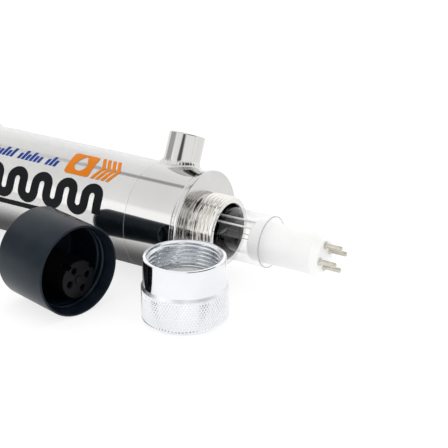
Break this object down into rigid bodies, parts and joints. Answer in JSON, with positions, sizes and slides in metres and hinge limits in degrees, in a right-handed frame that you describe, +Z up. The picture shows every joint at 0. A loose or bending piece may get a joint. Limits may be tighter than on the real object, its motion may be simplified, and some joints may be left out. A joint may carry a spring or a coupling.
{
  "type": "uv clarifier",
  "caption": "Tubular stainless ultraviolet water clarifier opened for a lamp change, with its knurled gland nut and rubber lamp cap set down beside it.",
  "frame": {"origin": "centre of the strap screw holes, on the surface that the clarifier is fixed to", "axes": "+X along the chamber towards its open service end, +Z up away from the mounting surface, the loose nut and cap on the -Y side"},
  "size_m": [0.3898, 0.128, 0.0662],
  "materials": {
    "polished_stainless": "mirror polished stainless steel",
    "machined_stainless": "turned stainless steel",
    "weld_bead": "dressed and polished weld",
    "label_film": "clear gloss film",
    "strap_steel": "brushed stainless strip",
    "liner_rubber": "matt black rubber",
    "silicone_seal": "translucent white silicone",
    "quartz": "clear fused quartz",
    "lamp_glass": "clear lamp glass",
    "ceramic": "glazed white ceramic",
    "pin_metal": "nickel-plated brass",
    "electrode_metal": "drawn wire",
    "wire_insulation": "white insulated wire",
    "nylon": "natural nylon",
    "nut_aluminium": "bright turned and knurled aluminium",
    "cap_rubber": "satin black rubber",
    "bush_rubber": "satin black rubber",
    "socket_plastic": "dark grey moulded plastic",
    "contact_brass": "brass tube"
  },
  "bodies": {
    "chamber": {"chamber_tube": "polished_stainless", "front_end_flange": "polished_stainless", "rear_end_flange": "polished_stainless", "front_threaded_neck": "machined_stainless", "rear_threaded_neck": "machined_stainless", "end_welds": "weld_bead", "outlet_port": "polished_stainless", "inlet_port": "polished_stainless", "port_welds": "weld_bead", "label_film": "label_film", "front_strap": "strap_steel", "rear_strap": "strap_steel", "front_strap_liner": "liner_rubber", "rear_strap_liner": "liner_rubber", "rear_o_ring": "silicone_seal"},
    "sleeve": {"quartz_sleeve": "quartz"},
    "lamp": {"lamp_base": "ceramic", "lamp_pins": "pin_metal", "lamp_tube": "lamp_glass", "lamp_end_cap": "ceramic", "lamp_electrodes": "electrode_metal", "lamp_return_wires": "wire_insulation"},
    "rear_ring": {"rear_thrust_ring": "nylon"},
    "rear_nut": {"rear_gland_nut": "nut_aluminium"},
    "rear_cap": {"rear_blank_cap": "cap_rubber"},
    "loose_nut": {"gland_nut": "nut_aluminium", "thrust_ring": "nylon", "gland_o_ring": "silicone_seal"},
    "loose_cap": {"lamp_cap": "cap_rubber", "cable_bush": "bush_rubber", "lamp_socket": "socket_plastic", "socket_contacts": "contact_brass"}
  },
  "joints": [
    {"name": "sleeve_slide", "type": "slide", "parent": "chamber", "child": "sleeve", "axis": [1, 0, 0], "range_m": [-0.0108, 0.3]},
    {"name": "lamp_slide", "type": "slide", "parent": "sleeve", "child": "lamp", "axis": [1, 0, 0], "range_m": [-0.0257, 0.262]},
    {"name": "rear_ring_slide", "type": "slide", "parent": "chamber", "child": "rear_ring", "axis": [-1, 0, 0], "range_m": [0, 0.0116]},
    {"name": "rear_nut_turn", "type": "hinge", "parent": "rear_ring", "child": "rear_nut", "pos_m": [-0.102, 0, 0.0263], "axis": [-1, 0, 0], "range_deg": [0, 2070]},
    {"name": "rear_cap_slide", "type": "slide", "parent": "rear_nut", "child": "rear_cap", "axis": [-1, 0, 0], "range_m": [0, 0.03]},
    {"name": "gland_nut_lift", "type": "slide", "parent": "chamber", "child": "loose_nut", "axis": [0, 0, 1], "range_m": [0, 0.09]},
    {"name": "lamp_cap_lift", "type": "slide", "parent": "chamber", "child": "loose_cap", "axis": [0, 0, 1], "range_m": [0, 0.09]}
  ],
  "couplings": [
    {"joint": "rear_ring_slide", "follows": "rear_nut_turn", "m_per_rad": 0.00031831}
  ]
}
